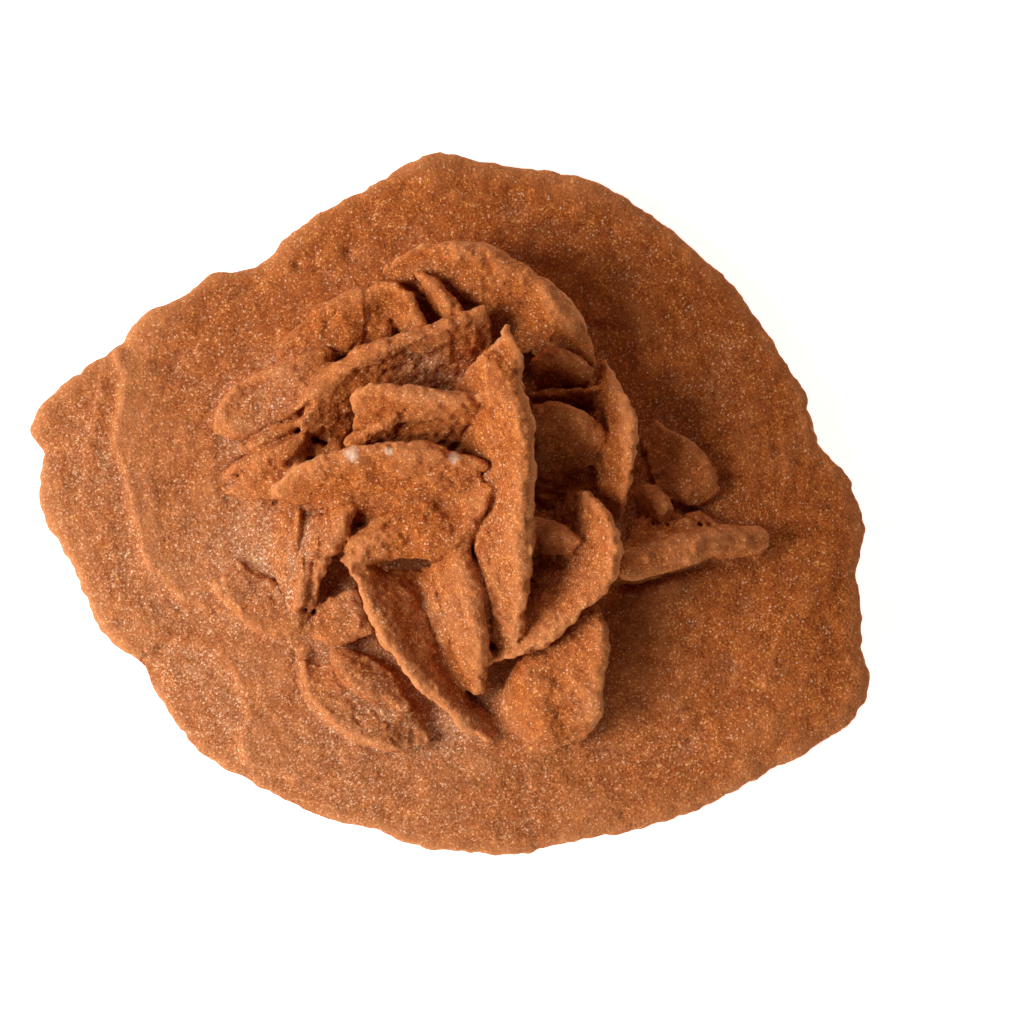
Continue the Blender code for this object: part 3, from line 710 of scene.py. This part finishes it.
def sand_material():
    """Sand grains bound in gypsum: each grain has its own colour, height and gloss, with a painted highlight
    on edges and painted shade in crevices.
    """
    material = bpy.data.materials.new("sand_gypsum")
    material.use_nodes = True
    n = Nodes(material)
    shader = n.tree.nodes["Principled BSDF"]
    place = n.add("ShaderNodeTexCoord").outputs["Object"]
    _, fine_tone, fine_other = n.grains(place, FINE_GRAIN)
    coarse_grains = n.grains(place, COARSE_GRAIN)
    speck_away, _, speck_other = coarse_grains

    tint = n.ramp(fine_tone, GRAIN_TINTS)
    colour = bare_colour(n, place, tint, coarse_grains)
    colour = dust_wear_and_painted_light_colour(n, place, colour, tint, fine_other)
    n.tree.links.new(colour, shader.inputs["Base Color"])

    glint = n.math("GREATER_THAN", fine_other, 0.95)
    gloss = n.math("SUBTRACT", 0.85, n.math("MULTIPLY", glint, 0.45))
    n.tree.links.new(gloss, shader.inputs["Roughness"])

    lump = n.math("MULTIPLY", n.math("SUBTRACT", 1.0, speck_away), n.math("ADD", 0.5, speck_other))
    bump_height = n.math("ADD", n.math("MULTIPLY", fine_other, 0.4), lump)
    bump = n.add("ShaderNodeBump", Strength=0.8, Distance=0.07 * MM, Height=bump_height)
    n.tree.links.new(bump.outputs[0], shader.inputs["Normal"])

    shader.inputs["Subsurface Weight"].default_value = 0.35
    shader.inputs["Subsurface Radius"].default_value = (1.0, 0.36, 0.14)
    shader.inputs["Subsurface Scale"].default_value = 0.9 * MM
    shader.inputs["Specular IOR Level"].default_value = 0.15
    return material


def floor_material():
    """Plain pale floor."""
    material = bpy.data.materials.new("floor_white")
    material.use_nodes = True
    n = Nodes(material)
    shader = n.tree.nodes["Principled BSDF"]
    place = n.add("ShaderNodeTexCoord").outputs["Object"]
    tone = n.mix(n.noise(place, 40.0), (0.90, 0.90, 0.90, 1), (0.92, 0.92, 0.92, 1))
    n.tree.links.new(tone, shader.inputs["Base Color"])
    shader.inputs["Roughness"].default_value = 0.9
    shader.inputs["Emission Color"].default_value = (1.0, 1.0, 1.0, 1.0)
    shader.inputs["Emission Strength"].default_value = 0.85
    return material


def make_floor():
    """A wide floor just under the stone."""
    half = 1.2
    mesh = bpy.data.meshes.new("floor")
    corners = [(-half, -half, 0.0), (half, -half, 0.0), (half, half, 0.0), (-half, half, 0.0)]
    mesh.from_pydata(corners, [], [(0, 1, 2, 3)])
    mesh.materials.append(floor_material())
    floor = bpy.data.objects.new("floor", mesh)
    bpy.context.scene.collection.objects.link(floor)
    floor.location.z = cad_low.z - 0.3 * MM


def area_light(name, turn, climb, size, power, colour):
    """A soft square lamp that faces the stone, from a compass turn from +X and a climb in degrees."""
    lamp = bpy.data.lights.new(name, "AREA")
    lamp.size = size
    lamp.energy = power
    lamp.color = colour
    obj = bpy.data.objects.new(name, lamp)
    bpy.context.scene.collection.objects.link(obj)
    flat = LAMP_DISTANCE * math.cos(math.radians(climb))
    place = Vector((flat * math.cos(math.radians(turn)), flat * math.sin(math.radians(turn)),
                    LAMP_DISTANCE * math.sin(math.radians(climb))))
    obj.location = place
    obj.rotation_euler = (-place).to_track_quat("-Z", "Y").to_euler()


def make_lights():
    """A wide key lamp from the left, low fill lamps in front and a weak lamp behind."""
    for name, turn, climb, size, share, colour in LAMPS:
        area_light(name, turn, climb, size, share * KEY_POWER, colour)
    world = bpy.data.worlds.new("studio")
    bpy.context.scene.world = world
    world.use_nodes = True
    background = world.node_tree.nodes["Background"]
    background.inputs["Color"].default_value = (1.0, 0.99, 0.97, 1.0)
    background.inputs["Strength"].default_value = 0.01


def make_camera():
    """Straight above the stone, from far away, with the stone a little left of the middle."""
    view_width = 0.1024
    distance = 0.75
    aim_x, aim_y, plate_z = 0.0062, -0.0008, 0.007
    lens = bpy.data.cameras.new("camera")
    lens.sensor_width = 36.0
    lens.lens = lens.sensor_width * distance / view_width
    camera = bpy.data.objects.new("camera", lens)
    bpy.context.scene.collection.objects.link(camera)
    camera.location = (aim_x, aim_y, plate_z + distance)
    bpy.context.scene.camera = camera


def build_blades(material):
    """One piece for every blade crystal."""
    blades = [node for node in sorted(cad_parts) if node != PLATE]
    boxes = [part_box(node) for node in blades]
    low = np.min([np.array(box[0]) for box in boxes], axis=0) / MM - MARGIN
    high = np.max([np.array(box[1]) for box in boxes], axis=0) / MM + MARGIN
    joined = Joined(Grid(low, high, BLADE_STEP), blades + [PLATE])
    for node in blades:
        grid, field = joined.share(node)
        points, quads = quads_of(grid, field)
        piece = make_piece(f"{node}_crystal", points, quads)
        finish_piece(piece, [node], points, quads, joined, material)


def build_plate(material):
    """The big plate, with its growth steps."""
    low = np.array(cad_low) / MM - MARGIN
    high = np.array(cad_high) / MM + MARGIN
    high[2] = PLATE_TOP
    joined = Joined(Grid(low, high, PLATE_STEP), sorted(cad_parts), PLATE_ROUGHNESS)
    grid, field = joined.share(PLATE)
    points, quads = quads_of(grid, field)
    normals = normals_of(points, quads)
    points[:, 2] += plate_relief(points) * np.clip(normals[:, 2] * 1.5, 0.0, 1.0)
    growth = RIM_GROWTH + layered_noise(points[:, :2], RIM_RAGGEDNESS)
    points[:, :2] += normals[:, :2] * growth[:, None]
    points[:, 2] = np.maximum(points[:, 2], 0.0)
    piece = make_piece("base_plate_crystal", points, quads)
    finish_piece(piece, [PLATE], points, quads, joined, material)


sand = sand_material()
build_blades(sand)
build_plate(sand)
make_floor()
make_lights()
make_camera()
bpy.context.scene.view_settings.view_transform = "Standard"
